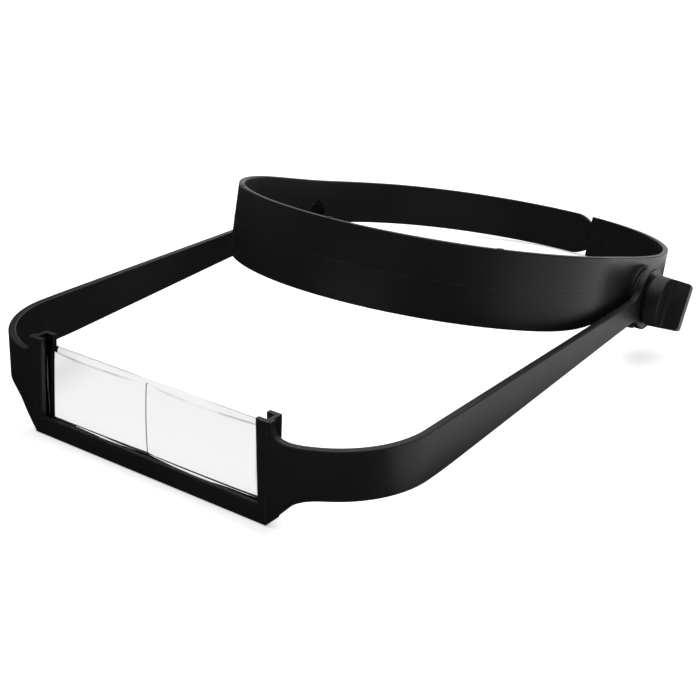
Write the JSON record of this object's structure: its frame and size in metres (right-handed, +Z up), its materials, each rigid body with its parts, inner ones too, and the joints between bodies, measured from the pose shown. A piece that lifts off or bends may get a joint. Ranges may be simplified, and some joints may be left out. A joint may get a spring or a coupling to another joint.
{
  "type": "head visor magnifier",
  "caption": "Head-worn magnifier: a springy head loop carries a tilting visor frame on knob-clamped temple pivots, with a clear magnifying lens plate that slides out of the frame.",
  "frame": {"origin": "on the table, under the middle of the magnifier's overall length and width", "axes": "+Z up; -Y ahead of the wearer, towards the lens; +X towards the wearer's left; X = 0 is the middle plane"},
  "size_m": [0.1942, 0.293, 0.0611],
  "materials": {
    "band_plastic": "satin",
    "visor_plastic": "satin",
    "knob_plastic": "satin",
    "lens_acrylic": "polished",
    "bolt_steel": "plated",
    "washer_rubber": "matte",
    "washer_nylon": "matte",
    "insert_brass": "turned"
  },
  "bodies": {
    "headband": {"headband": "band_plastic", "left_pivot_bolt": "bolt_steel", "left_friction_washer": "washer_rubber", "right_pivot_bolt": "bolt_steel", "right_friction_washer": "washer_rubber"},
    "visor": {"visor_frame": "visor_plastic"},
    "lens": {"lens_plate": "lens_acrylic"},
    "left_washer": {"left_knob_washer": "washer_nylon"},
    "left_knob": {"left_wing_knob": "knob_plastic", "left_knob_insert": "insert_brass"},
    "right_washer": {"right_knob_washer": "washer_nylon"},
    "right_knob": {"right_wing_knob": "knob_plastic", "right_knob_insert": "insert_brass"}
  },
  "joints": [
    {"name": "visor_tilt", "type": "hinge", "parent": "headband", "child": "visor", "pos_m": [0, 0.047, 0.0228], "axis": [-1, 0, 0], "range_deg": [-20, 100]},
    {"name": "lens_slide", "type": "slide", "parent": "visor", "child": "lens", "axis": [0, 0, 1], "range_m": [0, 0.028]},
    {"name": "left_knob_back_off", "type": "slide", "parent": "headband", "child": "left_washer", "axis": [1, 0, 0], "range_m": [0, 0.0016]},
    {"name": "left_knob_turn", "type": "hinge", "parent": "left_washer", "child": "left_knob", "pos_m": [0, 0.047, 0.0228], "axis": [1, 0, 0], "range_deg": [0, 720]},
    {"name": "right_knob_back_off", "type": "slide", "parent": "headband", "child": "right_washer", "axis": [-1, 0, 0], "range_m": [0, 0.0016]},
    {"name": "right_knob_turn", "type": "hinge", "parent": "right_washer", "child": "right_knob", "pos_m": [0, 0.047, 0.0228], "axis": [-1, 0, 0], "range_deg": [0, 720]}
  ],
  "couplings": [
    {"joint": "left_knob_turn", "follows": "left_knob_back_off", "rad_per_m": 7854},
    {"joint": "right_knob_turn", "follows": "right_knob_back_off", "rad_per_m": 7854}
  ]
}
